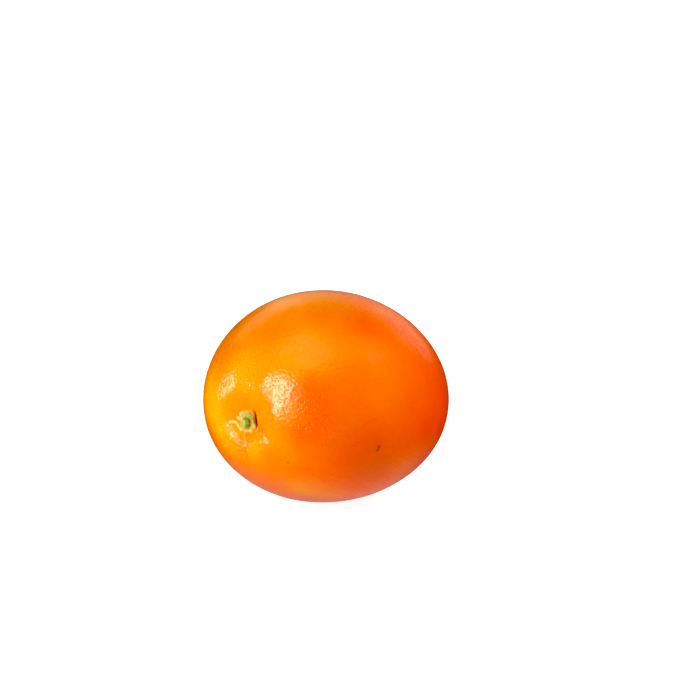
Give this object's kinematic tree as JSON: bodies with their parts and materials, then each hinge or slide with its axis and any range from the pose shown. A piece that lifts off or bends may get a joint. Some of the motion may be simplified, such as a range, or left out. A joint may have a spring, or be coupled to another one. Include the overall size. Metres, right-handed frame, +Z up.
{
  "type": "orange",
  "caption": "Whole ripe orange as picked, lying on its side on a small flat spot, with a pale star-shaped calyx and a short green stem stub in the furrowed stem hollow.",
  "frame": {"origin": "middle of the small flat spot that the fruit rests on", "axes": "+Z up, -X towards the stem end along the fruit's longest extent, +Y to the side"},
  "size_m": [0.0822, 0.0771, 0.0668],
  "materials": {
    "peel": "satin",
    "sepals": "matte",
    "stem": "satin"
  },
  "bodies": {
    "root": {"fruit": "peel", "calyx": "sepals", "stem_stub": "stem"}
  },
  "joints": []
}
